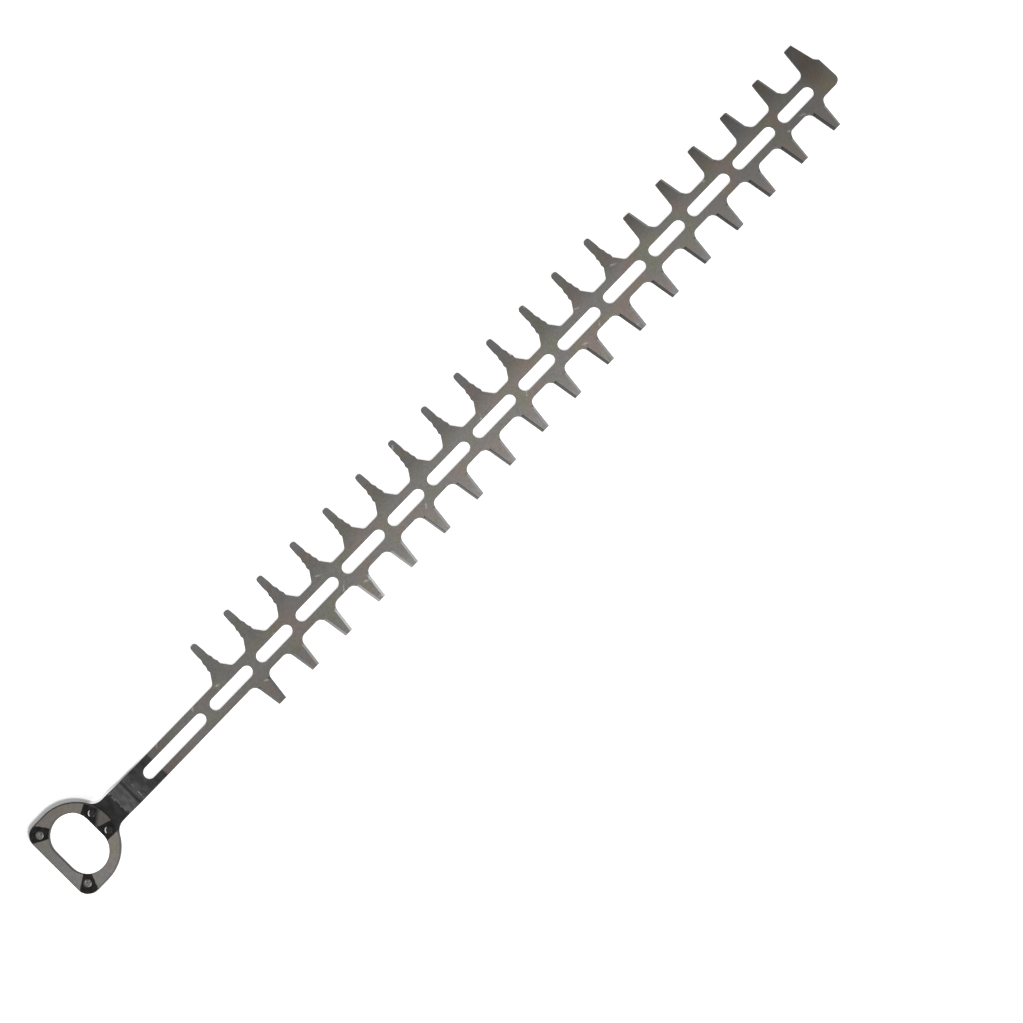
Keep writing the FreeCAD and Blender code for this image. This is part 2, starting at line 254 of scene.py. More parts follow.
# %% Steel tone
BROWN_CLOUD = (1.12, 0.98, 0.93, 1.0)
BROWN_CLOUD_SCALE = 0.045
BROWN_CLOUD_EDGE = (0.45, 0.68)
OLIVE_CLOUD = (0.99, 1.02, 0.88, 1.0)
OLIVE_CLOUD_SCALE = 0.06
OLIVE_CLOUD_EDGE = (0.45, 0.66)
OLIVE_CLOUD_SHIFT = (310.0, 90.0, 0.0)
GRAIN_SCALE = (0.9, 1.6, 1.2)
GRAIN_RANGE = (0.3, 0.7)

steel_tone, given, result = new_group(
    "steel_tone",
    {"Position": "Vector", "Base": "Color", "Clouds": "Float", "Grain": "Float"},
    {"Colour": "Color", "Unevenness": "Float"},
)
shifted = vector_node(steel_tone, "ADD", given["Position"], OLIVE_CLOUD_SHIFT)
brown = patches(steel_tone, given["Position"], BROWN_CLOUD_SCALE, BROWN_CLOUD_EDGE, detail=1.0)
olive = patches(steel_tone, shifted, OLIVE_CLOUD_SCALE, OLIVE_CLOUD_EDGE)
toned = given["Base"]
for cloud, tint in ((brown, BROWN_CLOUD), (olive, OLIVE_CLOUD)):
    toned = blend_colour(steel_tone, both(steel_tone, cloud, given["Clouds"]), toned, tint, "MULTIPLY")
grain = noise_node(steel_tone, scaled(steel_tone, given["Position"], GRAIN_SCALE), detail=3.0, roughness=0.6)
speck = smooth_step(steel_tone, grain, GRAIN_RANGE, -1.0, 1.0)
gain = math_node(steel_tone, "MULTIPLY_ADD", speck, given["Grain"], 1.0)
feed(steel_tone, result["Colour"], scaled(steel_tone, toned, gain))
feed(steel_tone, result["Unevenness"], grain)
print("group:", steel_tone.name)

# %% [markdown]
# Heat leaves its colour on steel with a border as sharp as a tide line. A border could be painted, but a
# line through a point at an angle, made a little ragged by noise, follows any patch and stays crisp at any
# size. The group's mask is 1 on the left of that line, and two or three lines together fence in a patch.

# %% Tint border
WAVER_SCALE = 0.33

tint_border, given, result = new_group(
    "tint_border",
    {"Position": "Vector", "Through": "Vector", "Turn": "Float", "Ragged": "Float", "Softness": "Float"},
    {"Mask": "Float"},
)
from_line = vector_node(tint_border, "SUBTRACT", given["Position"], given["Through"])
along_line = turned_flat(tint_border, from_line, math_node(tint_border, "MULTIPLY", given["Turn"], -1.0))
waver_place = scaled(tint_border, given["Position"], WAVER_SCALE)
waver = noise_node(tint_border, waver_place, detail=3.0, roughness=0.6)
waver = math_node(tint_border, "SUBTRACT", waver, 0.5)
waver = math_node(tint_border, "MULTIPLY", waver, given["Ragged"])
left_by = math_node(tint_border, "ADD", split(tint_border, along_line)["Y"], waver)
right_limit = math_node(tint_border, "MULTIPLY", given["Softness"], -1.0)
feed(tint_border, result["Mask"], smooth_step(tint_border, left_by, (right_limit, given["Softness"])))
print("group:", tint_border.name)

# %% [markdown]
# Handling leaves short light scuffs, a few millimetres long, scattered over the faces. A Voronoi texture
# gives scattered points. Stretching its space before it measures distance turns each dot into a short
# stroke, and the cell's own random colour decides whether the stroke is there at all.

# %% Scuffs
SCUFF_RAGGED_SCALE = 1.1
SCUFF_CORE = 0.55

scuffs, given, result = new_group(
    "scuffs",
    {"Position": "Vector", "Turn": "Float", "Cell": "Float", "Stretch": "Float", "Size": "Float",
     "Share": "Float"},
    {"Mask": "Float"},
)
along_stroke = split(scuffs, turned_flat(scuffs, given["Position"], given["Turn"]))
flat = scuffs.nodes.new("ShaderNodeCombineXYZ")
feed(scuffs, flat.inputs["X"], math_node(scuffs, "DIVIDE", along_stroke["X"], given["Stretch"]))
feed(scuffs, flat.inputs["Y"], along_stroke["Y"])
cells = scuffs.nodes.new("ShaderNodeTexVoronoi")
cells.voronoi_dimensions = "2D"
feed(scuffs, cells.inputs["Vector"], flat.outputs[0])
feed(scuffs, cells.inputs["Scale"], math_node(scuffs, "DIVIDE", 1.0, given["Cell"]))
reach = math_node(scuffs, "MULTIPLY", cells.outputs["Distance"], given["Cell"])
ragged = noise_node(scuffs, scaled(scuffs, given["Position"], SCUFF_RAGGED_SCALE))
reach = math_node(scuffs, "ADD", reach, math_node(scuffs, "MULTIPLY", ragged, given["Size"]))
core = math_node(scuffs, "MULTIPLY", given["Size"], SCUFF_CORE)
stroke = smooth_step(scuffs, reach, (given["Size"], core))
chosen = math_node(scuffs, "LESS_THAN", split(scuffs, cells.outputs["Color"])["X"], given["Share"])
feed(scuffs, result["Mask"], both(scuffs, stroke, chosen))
print("group:", scuffs.name)

# %% [markdown]
# A sheet's cut edge isn't like its faces. The punch has torn it, so it is rougher, and where the ring's two
# sheets lie on each other there is a thin black seam. Both sheets have such edges, so this is a group too.
# It tells an edge from a face by how flat the surface lies: 1 is level and 0 is upright.

# %% Sheet edge
MM = 0.001
EDGE_FLATNESS = (0.3, 0.15)
SEAM_HALF_WIDTH = 0.14
UNEVEN_RANGE = (0.25, 0.75)
FACE_ROUGHNESS = (0.3, 0.4)
HEAT_ROUGHENS = 0.1
EDGE_ROUGHNESS = 0.7

ring_low, ring_high = (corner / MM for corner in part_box("ring_plate"))
sheet_edge, given, result = new_group(
    "sheet_edge",
    {"Normal": "Vector", "Height": "Float", "Unevenness": "Float", "Heated": "Float"},
    {"Flatness": "Float", "Edge": "Float", "Seam": "Float", "Roughness": "Float"},
)
flatness = math_node(sheet_edge, "ABSOLUTE", split(sheet_edge, given["Normal"])["Z"])
edge = smooth_step(sheet_edge, flatness, EDGE_FLATNESS)
rough = smooth_step(sheet_edge, given["Unevenness"], UNEVEN_RANGE, *FACE_ROUGHNESS)
rough = math_node(sheet_edge, "MULTIPLY_ADD", given["Heated"], HEAT_ROUGHENS, rough)
seam = math_node(sheet_edge, "COMPARE", given["Height"], ring_low.z, SEAM_HALF_WIDTH)
feed(sheet_edge, result["Flatness"], flatness)
feed(sheet_edge, result["Edge"], edge)
feed(sheet_edge, result["Seam"], seam)
feed(sheet_edge, result["Roughness"], smooth_step(sheet_edge, edge, (0.0, 1.0), rough, EDGE_ROUGHNESS))
print("group:", sheet_edge.name, "with a seam at", round(ring_low.z, 3), "mm")


# %% [markdown]
# Each material starts with the place on the part in millimetres, which the patterns read, and with one
# Principled shader. Object coordinates are used, so the pattern stays on the part wherever it moves. The
# true face normal tells a flat face from a sheared edge or a ground bevel.

# %% Material helpers
GRAIN_STRENGTH = 0.15
GRAIN_DEPTH = 0.0002


def start_material(name, metallic=1.0):
    """A new material, its node tree, its shader and the place on the part."""
    material = bpy.data.materials.new(name)
    material.use_nodes = True
    tree = material.node_tree
    shader = tree.nodes["Principled BSDF"]
    shader.inputs["Metallic"].default_value = metallic
    place = tree.nodes.new("ShaderNodeTexCoord").outputs["Object"]
    return material, tree, shader, scaled(tree, place, 1 / MM)


def face_normal(tree):
    return tree.nodes.new("ShaderNodeNewGeometry").outputs["True Normal"]


def border(tree, position, through, toward, ragged=1.2, softness=0.25):
    """A mask that is 1 on the left of the line from one point to another, in millimetres."""
    angle = math.atan2(toward[1] - through[1], toward[0] - through[0])
    return use_group(tree, tint_border, Position=position, Through=(*through, 0.0), Turn=angle,
                     Ragged=ragged, Softness=softness)["Mask"]


def ring_side(tree, position, x, ragged, softness):
    """A mask that is 1 on the ring's side of a line straight across the blade."""
    return border(tree, position, (x, 0.0), (x, 1.0), ragged, softness)


def add_grain(tree, shader, unevenness):
    """A fine bump from an uneven height."""
    bump = tree.nodes.new("ShaderNodeBump")
    bump.inputs["Strength"].default_value = GRAIN_STRENGTH
    bump.inputs["Distance"].default_value = GRAIN_DEPTH
    feed(tree, bump.inputs["Height"], unevenness)
    feed(tree, shader.inputs["Normal"], bump.outputs[0])


def dress(node, material):
    for slot in node.material_slots:
        slot.material = material


print("material helpers ready")

# %% [markdown]
# The blade itself. Its faces are warm grey hardened steel, with painted light and shade over it that stands
# in for the soft box's broad sheen: lightest past the middle and darker towards the neck and the tip, and
# along the row the serrated side darker and the plain side lighter. Each ramp below gives where it runs, in
# millimetres along the blade, and its values at the two ends.

# %% Blade steel, faces
FACE_GREY = grey(0.174, 0.045)
FACE_GRAIN = 0.045
FACE_CLOUDS = ((250.0, 600.0), 0.9, 1.2)
TIP_PAINTED_SHADE = ((510.0, 690.0), 1.0, 0.76)
NECK_PAINTED_SHADE = ((400.0, 150.0), 1.0, 0.70)
HEAT_SHADE = ((100.0, 70.0), 1.0, 0.74)
SERRATED_PAINTED_SHADE = ((130.0, 350.0), 0.92, 0.72)
PLAIN_SIDE_PAINTED_LIGHT = ((130.0, 300.0), 0.85, 1.08)
SERRATED_SIDE = (4.0, 20.0)
PLAIN_SIDE = (-4.0, -20.0)

blade_steel, tree, shader, position = start_material("blade_steel")
normal = face_normal(tree)
x, y, z = split(tree, position)
tone = use_group(tree, steel_tone, Position=position, Base=FACE_GREY,
                 Clouds=smooth_step(tree, x, *FACE_CLOUDS), Grain=FACE_GRAIN)
# painted light and shade: a stand-in for the soft box's sheen, lightest past the middle and on the plain side
painted_light_and_shade = both(tree,
             smooth_step(tree, x, *TIP_PAINTED_SHADE),
             smooth_step(tree, x, *NECK_PAINTED_SHADE),
             smooth_step(tree, x, *HEAT_SHADE),
             smooth_step(tree, y, SERRATED_SIDE, 1.0, smooth_step(tree, x, *SERRATED_PAINTED_SHADE)),
             smooth_step(tree, y, PLAIN_SIDE, 1.0, smooth_step(tree, x, *PLAIN_SIDE_PAINTED_LIGHT)))
colour = scaled(tree, tone["Colour"], painted_light_and_shade)
print("blade faces ready")

# %% [markdown]
# The teeth's tips differ from the bar. The serrated teeth end in a cooler grey, and the plain teeth after
# them in a darker one. On the plain side the wheel has left light streaks, most of them in the middle of
# the row. The spans here run across the blade, apart from those that say that they run along it.

# %% Blade steel, tooth tips
SERRATED_ROW_END_ALONG = (513.0, 515.0)
SERRATED_TIPS = (26.0, 33.0)
SERRATED_TIP_PAINT = (grey(0.132, -0.01), 0.8)
UPPER_PLAIN_TIPS = (17.0, 29.0)
UPPER_PLAIN_TIP_PAINT = (grey(0.055, 0.02), 0.45)
GROUND_TIPS = (-18.0, -27.0)
GROUND_TIPS_BEGIN_ALONG = (150.0, 360.0)
GROUND_TIPS_END_ALONG = (690.0, 500.0)
GROUND_TIP_PAINT = (grey(0.27, 0.01), 0.7)
STREAK_SCALE = (2.2, 0.12, 1.0)
STREAK_EDGE = (0.35, 0.65)

past_serrated = smooth_step(tree, x, SERRATED_ROW_END_ALONG)
before_plain = math_node(tree, "SUBTRACT", 1.0, past_serrated)
upper_plain_tips = both(tree, smooth_step(tree, y, UPPER_PLAIN_TIPS), past_serrated)
colour = painted(tree, colour, upper_plain_tips, *UPPER_PLAIN_TIP_PAINT)
serrated_tips = both(tree, smooth_step(tree, y, SERRATED_TIPS), before_plain)
colour = painted(tree, colour, serrated_tips, *SERRATED_TIP_PAINT)
streaks = noise_node(tree, scaled(tree, position, STREAK_SCALE))
ground_tips = both(tree,
                   smooth_step(tree, y, GROUND_TIPS),
                   smooth_step(tree, streaks, STREAK_EDGE),
                   smooth_step(tree, x, GROUND_TIPS_BEGIN_ALONG),
                   smooth_step(tree, x, GROUND_TIPS_END_ALONG))
colour = painted(tree, colour, ground_tips, *GROUND_TIP_PAINT)
print("tooth tips ready")

# %% [markdown]
# Over the faces lie a brown stain at the blade's end and light scuffs in two directions. At the root of each
# tooth on the plain side there is also a short painted glint, a highlight where the sheet's top edge catches
# the light, laid on with the scuff colour. It is one flat ellipse that is repeated at the tooth pitch, by
# wrapping the place along the blade.

# %% Blade steel, stain and scuffs
END_STAIN = (0.76, 0.72, 0.66, 1.0)
END_STAIN_SPOT = (678.0, 9.0)
END_STAIN_REACH = (15.0, 4.0)
SCUFF_AND_GLINT_LIGHT = grey(0.42, 0.05)
SCUFF_COVER = 0.5
LONG_SCUFFS = {"Turn": 0.45, "Cell": 12.0, "Stretch": 3.0, "Size": 1.9, "Share": 0.5}
CROSS_SCUFFS = {"Turn": -0.95, "Cell": 15.0, "Stretch": 3.5, "Size": 1.7, "Share": 0.45}
FIRST_LOWER_TOOTH = 152.6
TOOTH_PITCH = 30.0
GLINT_FROM_TOOTH = (-8.4, -10.1)
GLINT_LEAN = 0.36
GLINT_HALF_SIZE = (2.6, 0.7)
GLINT_EDGE = (1.0, 0.4)
GLINT_BREAKS = (0.3, 0.5)

end_stain = smooth_step(tree, from_spot(tree, x, y, END_STAIN_SPOT), END_STAIN_REACH)
colour = blend_colour(tree, end_stain, colour, END_STAIN, "MULTIPLY")
one_pitch = (FIRST_LOWER_TOOTH + TOOTH_PITCH / 2, FIRST_LOWER_TOOTH - TOOTH_PITCH / 2)
glint_x = math_node(tree, "WRAP", x, *one_pitch)
glint_x = math_node(tree, "SUBTRACT", glint_x, FIRST_LOWER_TOOTH + GLINT_FROM_TOOTH[0])
glint_y = math_node(tree, "SUBTRACT", y, GLINT_FROM_TOOTH[1])
glint_y = math_node(tree, "MULTIPLY_ADD", glint_x, GLINT_LEAN, glint_y)
glint_sides = [math_node(tree, "POWER", math_node(tree, "DIVIDE", side, half), 2.0)
               for side, half in zip((glint_x, glint_y), GLINT_HALF_SIZE)]
# painted highlight: a glint where the top edge at each plain tooth's root catches the light
painted_glint = both(tree, smooth_step(tree, math_node(tree, "ADD", *glint_sides), GLINT_EDGE),
             smooth_step(tree, streaks, GLINT_BREAKS))
marks = either(tree,
               use_group(tree, scuffs, Position=position, **LONG_SCUFFS)["Mask"],
               use_group(tree, scuffs, Position=position, **CROSS_SCUFFS)["Mask"],
               painted_glint)
colour = painted(tree, colour, marks, SCUFF_AND_GLINT_LIGHT, SCUFF_COVER)
print("stain and scuffs ready")

# %% [markdown]
# Hardening stops short of the neck, which the heat has left charcoal up to a sharp line across the first
# slot. The sloped step of the neck carries a painted highlight, and the neck's last bend a painted band of
# shade. Scale has stayed darkest next to the ring plate and up to the heat line.

# %% Blade steel, burnt neck
HEAT_LINE = 68.8
NECK_CHARCOAL = grey(0.026, 0.01)
NECK_PATCH = (grey(0.043, -0.01), 0.6)
NECK_PATCH_SCALE = (0.16, 0.11, 0.1)
NECK_PATCH_EDGE = (0.42, 0.58)
SCALE_BLACK = grey(0.0195)
BEND_SHADE_AND_SCALE_BLACK = grey(0.0215, 0.02)
SLOPE_PAINTED_HIGHLIGHT = grey(0.066, -0.01)
STEP_START = 34.6
STEP_END = 43.8
STEP_END_SPAN = (STEP_END + 0.4, STEP_END - 0.4)
BEND_BEGINS = (STEP_END - 0.5, STEP_END + 0.8)
BEND_ENDS = (STEP_END + 2.4, STEP_END + 1.1)
WORN_BEGINS = (STEP_END + 1.6, STEP_END + 2.4)
WORN_ENDS = (52.0, 49.0)
WORN_PAINT = (grey(0.046), 0.8)
LAST_SCALE = (HEAT_LINE - 8.0, HEAT_LINE - 4.0)
LAST_SCALE_COVER = 0.8

heated = ring_side(tree, position, HEAT_LINE, ragged=1.6, softness=0.5)
patchy = patches(tree, position, NECK_PATCH_SCALE, NECK_PATCH_EDGE)
neck_colour = painted(tree, NECK_CHARCOAL, patchy, *NECK_PATCH)
near_plate = ring_side(tree, position, STEP_START, ragged=9.0, softness=0.4)
neck_colour = painted(tree, neck_colour, near_plate, SCALE_BLACK)
# painted highlight on the neck's sloped step
on_slope = math_node(tree, "SUBTRACT", smooth_step(tree, x, STEP_END_SPAN), near_plate, clamp=True)
neck_colour = painted(tree, neck_colour, on_slope, SLOPE_PAINTED_HIGHLIGHT)
# painted shade along the neck's last bend; the same black serves the real scale up to the heat line
painted_bend_shade = both(tree, smooth_step(tree, x, BEND_BEGINS), smooth_step(tree, x, BEND_ENDS))
neck_colour = painted(tree, neck_colour, painted_bend_shade, BEND_SHADE_AND_SCALE_BLACK)
worn = both(tree, smooth_step(tree, x, WORN_BEGINS), smooth_step(tree, x, WORN_ENDS))
neck_colour = painted(tree, neck_colour, worn, *WORN_PAINT)
last_scale = smooth_step(tree, x, LAST_SCALE)
neck_colour = painted(tree, neck_colour, last_scale, BEND_SHADE_AND_SCALE_BLACK, LAST_SCALE_COVER)
print("burnt neck ready")

# %% [markdown]
# A broken scratch runs across the neck, between two lines half a millimetre apart, and smears make the burnt
# steel a little lighter and darker. The burnt neck is then laid over the faces. Underneath it ends short of
# the ring, whose lower side has kept its bare grey.

# %% Blade steel, neck marks
SCRATCH_TIP_SIDE = ((48.4, -9.0), (49.4, 9.0))
SCRATCH_RING_SIDE = ((48.9, 9.0), (47.9, -9.0))
SCRATCH_COVER = 0.35
SCRATCH_BREAK_SCALE = 0.5
SCRATCH_BREAKS = (0.5, 0.6)
SMEAR_SCALE = (0.26, 0.15, 0.2)
SMEARS = ((0.35, 0.65), 0.8, 1.2)
FACES_DOWN = -0.5
UNDERSIDE_GAIN = 1.25
RING_UNDERSIDE_LINE = 23.0

scratch = both(tree,
               border(tree, position, *SCRATCH_TIP_SIDE, ragged=1.0, softness=0.15),
               border(tree, position, *SCRATCH_RING_SIDE, ragged=1.0, softness=0.15),
               patches(tree, position, SCRATCH_BREAK_SCALE, SCRATCH_BREAKS))
neck_colour = painted(tree, neck_colour, scratch, SCUFF_AND_GLINT_LIGHT, SCRATCH_COVER)
neck_colour = scaled(tree, neck_colour, patches(tree, position, SMEAR_SCALE, *SMEARS))
underneath = math_node(tree, "LESS_THAN", split(tree, normal)["Z"], FACES_DOWN)
ring_end = ring_side(tree, position, RING_UNDERSIDE_LINE, ragged=2.0, softness=0.3)
heated = both(tree, heated, math_node(tree, "SUBTRACT", 1.0, both(tree, underneath, ring_end)))
colour = scaled(tree, colour, smooth_step(tree, underneath, (0.0, 1.0), 1.0, UNDERSIDE_GAIN))
colour = painted(tree, colour, heated, neck_colour)
print("neck marks ready")

# %% [markdown]
# Under the ring each spot weld has burnt a black spot with a brown stain around it. The welds lie in mirrored
# pairs, so the distance is measured on one side and serves for both.

# %% Blade steel, burnt spots underneath
CORNER_WELD = (-13.8, 21.4)
NECK_WELD = (18.9, 7.5)
WELD_STAIN = (9.0, 5.5)
WELD_STAIN_PAINT = ((0.12, 0.085, 0.06, 1.0), 0.45)
WELD_BURN = (5.2, 4.8)
BURN_BLACK = grey(0.035, 0.03)
STAIN_RAGGED = 2.0
STAIN_SCALE = 0.35

either_side = math_node(tree, "ABSOLUTE", y)
ragged = noise_node(tree, scaled(tree, position, STAIN_SCALE), detail=3.0, roughness=0.6)
for spot in (CORNER_WELD, NECK_WELD):
    off_spot = math_node(tree, "MULTIPLY_ADD", ragged, STAIN_RAGGED, from_spot(tree, x, either_side, spot))
    stain = both(tree, underneath, smooth_step(tree, off_spot, WELD_STAIN))
    colour = painted(tree, colour, stain, *WELD_STAIN_PAINT)
    burn = both(tree, underneath, smooth_step(tree, off_spot, WELD_BURN))
    colour = painted(tree, colour, burn, BURN_BLACK)
print("burnt spots ready")

# %% [markdown]
# The ground bevels are told from the faces and edges by their tilt. Their tones are painted light and shade:
# those that face the tip are painted lighter than those that face the ring end, and the tone along the row
# is a painted reflection. On the plain side the first are about as dark as the face and the third to fifth
# bright, and from there they darken to the tip. Those that face the ring end have a dark line along the top,
# which starts at the fifth tooth. On the serrated side the plain teeth have a bevel only towards the tip, and
# the last of these is nearly black.

# %% Blade steel, ground bevels
SHEET_THICKNESS = 3.0
TEETH_START = 100.0
BEVEL_FLATNESS = 0.58
BEVEL_FLATNESS_RANGE = 0.16
RING_BEVEL_PAINTED_LIGHT = (grey(0.095, 0.01),
               ((150.0, 245.0), grey(0.28)),
               ((255.0, 330.0), grey(0.145, 0.01)),
               ((305.0, 500.0), grey(0.078, 0.01)))
TIP_BEVEL_PAINTED_LIGHT = (grey(0.09),
              ((150.0, 230.0), grey(0.38)),
              ((240.0, 305.0), grey(0.215)),
              ((360.0, 620.0), grey(0.115)))
UPPER_BEVEL_PAINTED_LIGHT = (grey(0.115, 0.01),
                ((500.0, 680.0), grey(0.035, 0.01)))
BEVEL_LINE = grey(0.06, 0.01)
BEVEL_LINE_DEPTH = (0.9, 0.5)
BEVEL_LINE_BEGINS = (255.0, 310.0)
TURNS_TO_TIP = (-0.2, 0.2)
SIDES_MEET = (-1.0, 1.0)


def along_row(tree, x, first, *changes):
    """A tone that changes along the blade. Each change says where it runs and the tone it ends in."""
    tone = first
    for span, last in changes:
        tone = painted(tree, tone, smooth_step(tree, x, span), last)
    return tone


edge = use_group(tree, sheet_edge, Normal=normal, Height=z, Unevenness=tone["Unevenness"], Heated=heated)
below_face = math_node(tree, "SUBTRACT", SHEET_THICKNESS, z)
bevel_line = both(tree,
                  smooth_step(tree, below_face, BEVEL_LINE_DEPTH),
                  smooth_step(tree, x, BEVEL_LINE_BEGINS))
# painted light and shade: bevels facing the tip lighter than those facing the ring end, and a painted
# reflection along the row
ring_bevel = painted(tree, along_row(tree, x, *RING_BEVEL_PAINTED_LIGHT), bevel_line, BEVEL_LINE)
tip_bevel = painted(tree, along_row(tree, x, *TIP_BEVEL_PAINTED_LIGHT), smooth_step(tree, y, SIDES_MEET),
                    along_row(tree, x, *UPPER_BEVEL_PAINTED_LIGHT))
faces_tip = smooth_step(tree, split(tree, normal)["X"], TURNS_TO_TIP)
bevel_colour = painted(tree, ring_bevel, faces_tip, tip_bevel)
bevel = both(tree,
             math_node(tree, "COMPARE", edge["Flatness"], BEVEL_FLATNESS, BEVEL_FLATNESS_RANGE),
             math_node(tree, "GREATER_THAN", x, TEETH_START))
print("ground bevels ready")

# %% [markdown]
# The sheared edges are dark, with a lighter band along the top that the punch has burnished. With them and
# the bevels laid over the rest, the blade's steel is done.

# %% Blade steel, sheared edges
EDGE_DARK = grey(0.06, 0.01)
EDGE_BURNISHED = grey(0.095)
BURNISHED_DEPTH = (1.2, 0.9)
SEAM_BLACK = grey(0.012)

edge_colour = painted(tree, EDGE_DARK, smooth_step(tree, below_face, BURNISHED_DEPTH), EDGE_BURNISHED)
edge_colour = painted(tree, edge_colour, edge["Seam"], SEAM_BLACK)
colour = painted(tree, colour, edge["Edge"], edge_colour)
colour = painted(tree, colour, bevel, bevel_colour)
feed(tree, shader.inputs["Base Color"], colour)
feed(tree, shader.inputs["Roughness"], edge["Roughness"])
add_grain(tree, shader, tone["Unevenness"])
dress(cutter_bar, blade_steel)
print("material:", blade_steel.name, len(tree.nodes), "nodes")

# %% [markdown]
# The ring plate is the same steel. Each spot weld has burnt a dark patch across the ring, with straight and
# rather sharp borders. Two patches sit in the square corners. The other two run together over the neck's
# side of the ring, apart from a light wedge of untouched steel between them. A patch is given by the lines
# around it, each from one point to another with the patch on its left.

# %% Plate steel, heat patches
PLATE_GREY = grey(0.147, 0.03)
PLATE_CLOUDS = 0.7
PLATE_PAINTED_SHADE = ((-10.0, 25.0), 1.0, 0.91)
PLATE_SCUFFS = {"Turn": 0.8, "Cell": 13.0, "Stretch": 4.0, "Size": 0.45, "Share": 0.5}
SERRATED_CORNER_PATCH = (((-7.6, 21.9), (-12.4, 29.0)), ((-19.2, 20.0), (-12.7, 16.4)))
PLAIN_CORNER_PATCH = (((-11.6, -28.5), (-8.4, -20.6)), ((-12.7, -16.0), (-19.3, -20.2)))
NECK_SIDE_PATCH = (((10.0, -11.6), (20.0, -11.8)),
                   ((18.3, 14.6), (13.5, 12.5)),
                   ((12.0, 10.0), (12.0, -10.0)))
WEDGE_SHARP_LINE = ((14.0, -0.6), (23.4, -3.9))
WEDGE_SOFT_LINE = ((22.0, 5.0), (14.0, -1.2))
WEDGE_GREY = grey(0.082, 0.07)
TINT_BLACK = grey(0.012, 0.03)
TINT_BROWN = grey(0.02, 0.08)
TINT_SCALE = 0.45
TINT_EDGE = (0.4, 0.65)


def fenced(tree, position, lines):
    """A patch on the left of each of its lines."""
    return both(tree, *(border(tree, position, *line) for line in lines))


plate_steel, tree, shader, position = start_material("plate_steel")
normal = face_normal(tree)
x, y, z = split(tree, position)
tone = use_group(tree, steel_tone, Position=position, Base=PLATE_GREY, Clouds=PLATE_CLOUDS, Grain=FACE_GRAIN)
# painted shade: the plate a little darker towards the serrated side, away from the soft box
colour = scaled(tree, tone["Colour"], smooth_step(tree, y, *PLATE_PAINTED_SHADE))
marks = use_group(tree, scuffs, Position=position, **PLATE_SCUFFS)["Mask"]
colour = painted(tree, colour, marks, SCUFF_AND_GLINT_LIGHT, SCUFF_COVER)
tint = either(tree, *(fenced(tree, position, lines)
                      for lines in (SERRATED_CORNER_PATCH, PLAIN_CORNER_PATCH, NECK_SIDE_PATCH)))
browned = patches(tree, position, TINT_SCALE, TINT_EDGE, detail=3.0, roughness=0.65)
colour = painted(tree, colour, tint, painted(tree, TINT_BLACK, browned, TINT_BROWN))
wedge = both(tree, border(tree, position, *WEDGE_SHARP_LINE),
             border(tree, position, *WEDGE_SOFT_LINE, softness=1.8))
colour = painted(tree, colour, wedge, WEDGE_GREY)
print("heat patches ready")

# %% [markdown]
# The plate's upper edge is broken by a narrow rim, whose colour is painted light and shade. It is painted
# dark where it faces the serrated side, with a painted band of shade beside it on the face, and light where
# it faces the plain side, apart from the burnt patches, where it is dark. The band follows the ring's round
# end, so it is found by the distance from that arc's middle. The walls of the two corner dimples are light.

# %% Plate steel, rim and dimples
RIM_FLATNESS = 0.707
RIM_FLATNESS_RANGE = 0.02
RIM_SHADE_AND_TINT_DARK = grey(0.03)
RIM_PAINTED_LIGHT = grey(0.125)
RIM_TURNS_LIGHT = (0.1, -0.4)
RIM_BAND_PAINTED_SHADE = grey(0.045)
RIM_BAND_WIDTH = 0.9
RIM_BAND_SOFTNESS = 0.2
RIM_BAND_BEGINS = (4.0, 10.0)
DIMPLE_FLATNESS = 0.643
DIMPLE_FLATNESS_RANGE = 0.03
DIMPLE_LIGHT = grey(0.12)
PLATE_EDGE = grey(0.065, 0.01)

ring_radius = ring_high.y
ring_middle = ring_high.x - ring_radius


def from_ring_middle(tree, x, y):
    """The distance from the middle of the ring's round end, or from the blade's axis on the square side."""
    past_middle = math_node(tree, "MAXIMUM", math_node(tree, "SUBTRACT", x, ring_middle), 0.0)
    return flat_distance(tree, past_middle, y)


edge = use_group(tree, sheet_edge, Normal=normal, Height=z, Unevenness=tone["Unevenness"])
band_start = ring_radius - RIM_BAND_WIDTH
band_edge = (band_start - RIM_BAND_SOFTNESS, band_start + RIM_BAND_SOFTNESS)
# painted shade: a dark band on the face just inside the round end's rim, on the serrated side
painted_rim_shade = both(tree, smooth_step(tree, from_ring_middle(tree, x, y), band_edge),
                smooth_step(tree, y, RIM_BAND_BEGINS))
colour = painted(tree, colour, painted_rim_shade, RIM_BAND_PAINTED_SHADE)
dimple = both(tree, math_node(tree, "COMPARE", edge["Flatness"], DIMPLE_FLATNESS, DIMPLE_FLATNESS_RANGE),
              math_node(tree, "LESS_THAN", x, 0.0))
colour = painted(tree, colour, dimple, DIMPLE_LIGHT)
colour = painted(tree, colour, edge["Edge"], painted(tree, PLATE_EDGE, edge["Seam"], SEAM_BLACK))
# painted light and shade on the rim: dark facing the serrated side, light facing the plain side, dark in the
# burnt patches
rim = math_node(tree, "COMPARE", edge["Flatness"], RIM_FLATNESS, RIM_FLATNESS_RANGE)
faces_plain_side = smooth_step(tree, split(tree, normal)["Y"], RIM_TURNS_LIGHT)
rim_colour = painted(tree, painted(tree, RIM_SHADE_AND_TINT_DARK, faces_plain_side, RIM_PAINTED_LIGHT), tint, RIM_SHADE_AND_TINT_DARK)
colour = painted(tree, colour, rim, rim_colour)
feed(tree, shader.inputs["Base Color"], colour)
feed(tree, shader.inputs["Roughness"], edge["Roughness"])
add_grain(tree, shader, tone["Unevenness"])
dress(ring_plate, plate_steel)
print("material:", plate_steel.name, len(tree.nodes), "nodes")

